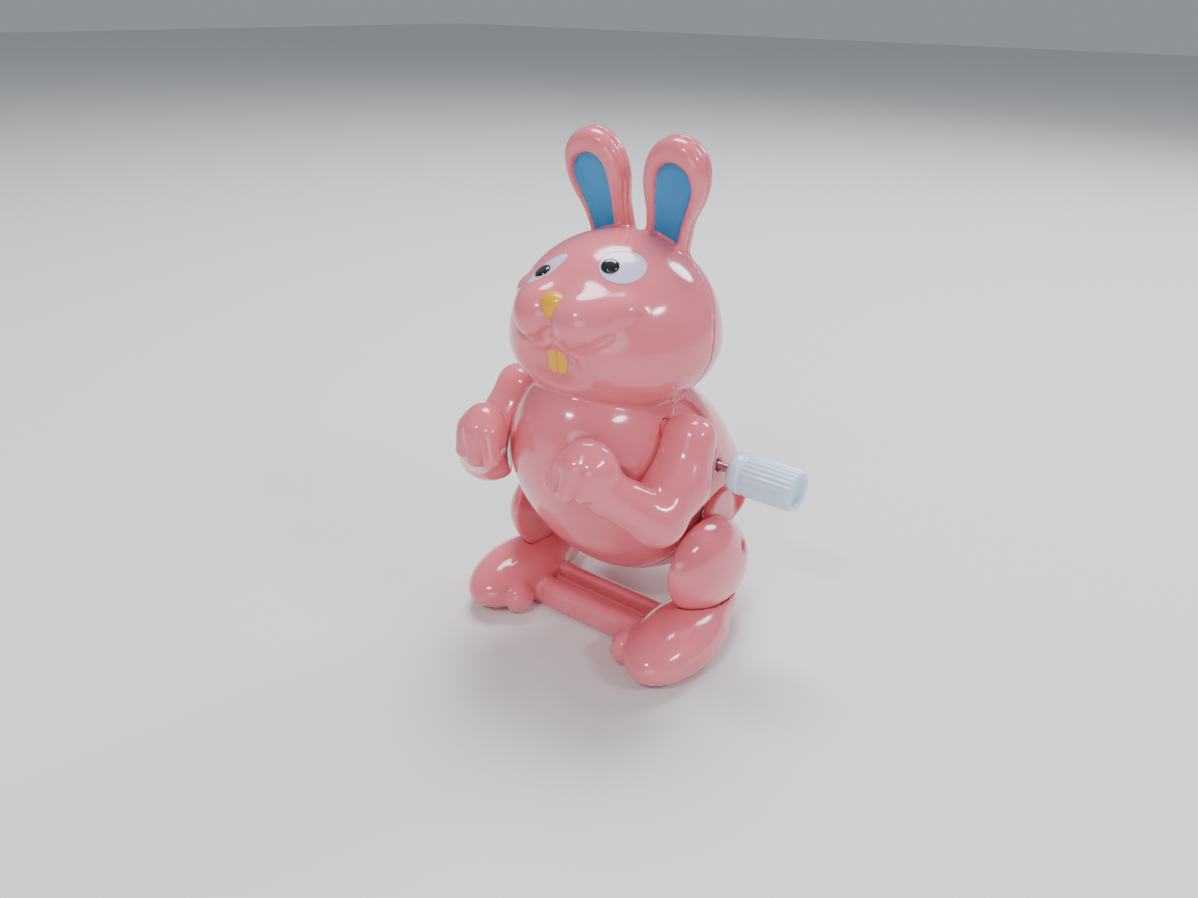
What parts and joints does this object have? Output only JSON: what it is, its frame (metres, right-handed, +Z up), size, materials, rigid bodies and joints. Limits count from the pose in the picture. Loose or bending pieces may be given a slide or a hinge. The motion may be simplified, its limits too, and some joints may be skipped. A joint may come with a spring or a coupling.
{
  "type": "wind-up toy rabbit",
  "caption": "Wind-up hopping toy rabbit: hollow plastic body, bent arms, feet joined by a bar, side winding knob and a geared spring motor inside.",
  "frame": {"origin": "on the underside of the bar between the feet, on the middle plane, at the centre of the feet fore and aft", "axes": "+Z up, -Y the way the face looks, +X the side that carries the winding knob"},
  "size_m": [0.0481, 0.0476, 0.0727],
  "materials": {
    "pink": "glossy moulded plastic",
    "yellow": "glossy paint on plastic",
    "eye_white": "glossy paint on plastic",
    "black": "glossy paint on plastic",
    "blue": "satin paint on plastic",
    "knob_plastic": "translucent white plastic",
    "steel": "plain steel",
    "brass": "stamped brass"
  },
  "bodies": {
    "torso": {"front_shell": "pink", "rear_shell": "pink", "nose": "yellow", "teeth": "yellow", "left_eye": "eye_white", "right_eye": "eye_white", "left_pupil": "black", "right_pupil": "black", "left_ear_lining": "blue", "right_ear_lining": "blue", "motor_plate_left": "steel", "motor_plate_right": "steel", "post_top_front": "steel", "post_top_rear": "steel", "post_low_rear": "steel", "post_low_front": "steel", "post_mid_front": "steel", "mainspring": "steel"},
    "winder": {"knob": "knob_plastic", "winding_shaft": "steel", "ratchet_wheel": "steel"},
    "great_wheel_group": {"great_wheel": "brass", "click": "steel"},
    "crank_group": {"crank_axle": "steel", "crank_pinion": "brass", "crank_wheel": "brass", "left_crank": "steel", "right_crank": "steel"},
    "escape_group": {"escape_arbor": "steel", "escape_pinion": "brass", "escape_wheel": "brass"},
    "verge_group": {"verge_arbor": "steel", "verge": "steel"},
    "leg_group": {"foot_frame": "pink", "left_thigh": "pink", "right_thigh": "pink", "left_hip_pin": "steel", "right_hip_pin": "steel"},
    "left_arm_body": {"left_arm": "pink"},
    "right_arm_body": {"right_arm": "pink"}
  },
  "joints": [
    {"name": "winding_turn", "type": "hinge", "parent": "torso", "child": "winder", "pos_m": [0.02, 0.0078, 0.0277], "axis": [1, 0, 0], "continuous": true},
    {"name": "great_wheel_spin", "type": "hinge", "parent": "torso", "child": "great_wheel_group", "pos_m": [0.0005, 0.0078, 0.0277], "axis": [1, 0, 0], "continuous": true},
    {"name": "crank_spin", "type": "hinge", "parent": "torso", "child": "crank_group", "pos_m": [0, 0.0108, 0.01857], "axis": [1, 0, 0], "continuous": true},
    {"name": "escape_spin", "type": "hinge", "parent": "torso", "child": "escape_group", "pos_m": [0.004, 0.00478, 0.01571], "axis": [1, 0, 0], "continuous": true},
    {"name": "verge_rock", "type": "hinge", "parent": "torso", "child": "verge_group", "pos_m": [0.004, 0.0034, 0.0202], "axis": [1, 0, 0], "range_deg": [-4, 4]},
    {"name": "hip_swing", "type": "hinge", "parent": "torso", "child": "leg_group", "pos_m": [0, 0.0104, 0.0142], "axis": [1, 0, 0], "range_deg": [-10, 10]},
    {"name": "left_shoulder", "type": "hinge", "parent": "torso", "child": "left_arm_body", "pos_m": [0.0154, -0.0015, 0.0356], "axis": [1, 0, 0], "range_deg": [-25, 8]},
    {"name": "right_shoulder", "type": "hinge", "parent": "torso", "child": "right_arm_body", "pos_m": [-0.0154, -0.0015, 0.0356], "axis": [1, 0, 0], "range_deg": [-25, 8]}
  ],
  "couplings": [
    {"joint": "crank_spin", "follows": "great_wheel_spin", "ratio": -1.4},
    {"joint": "escape_spin", "follows": "great_wheel_spin", "ratio": 5.25}
  ]
}
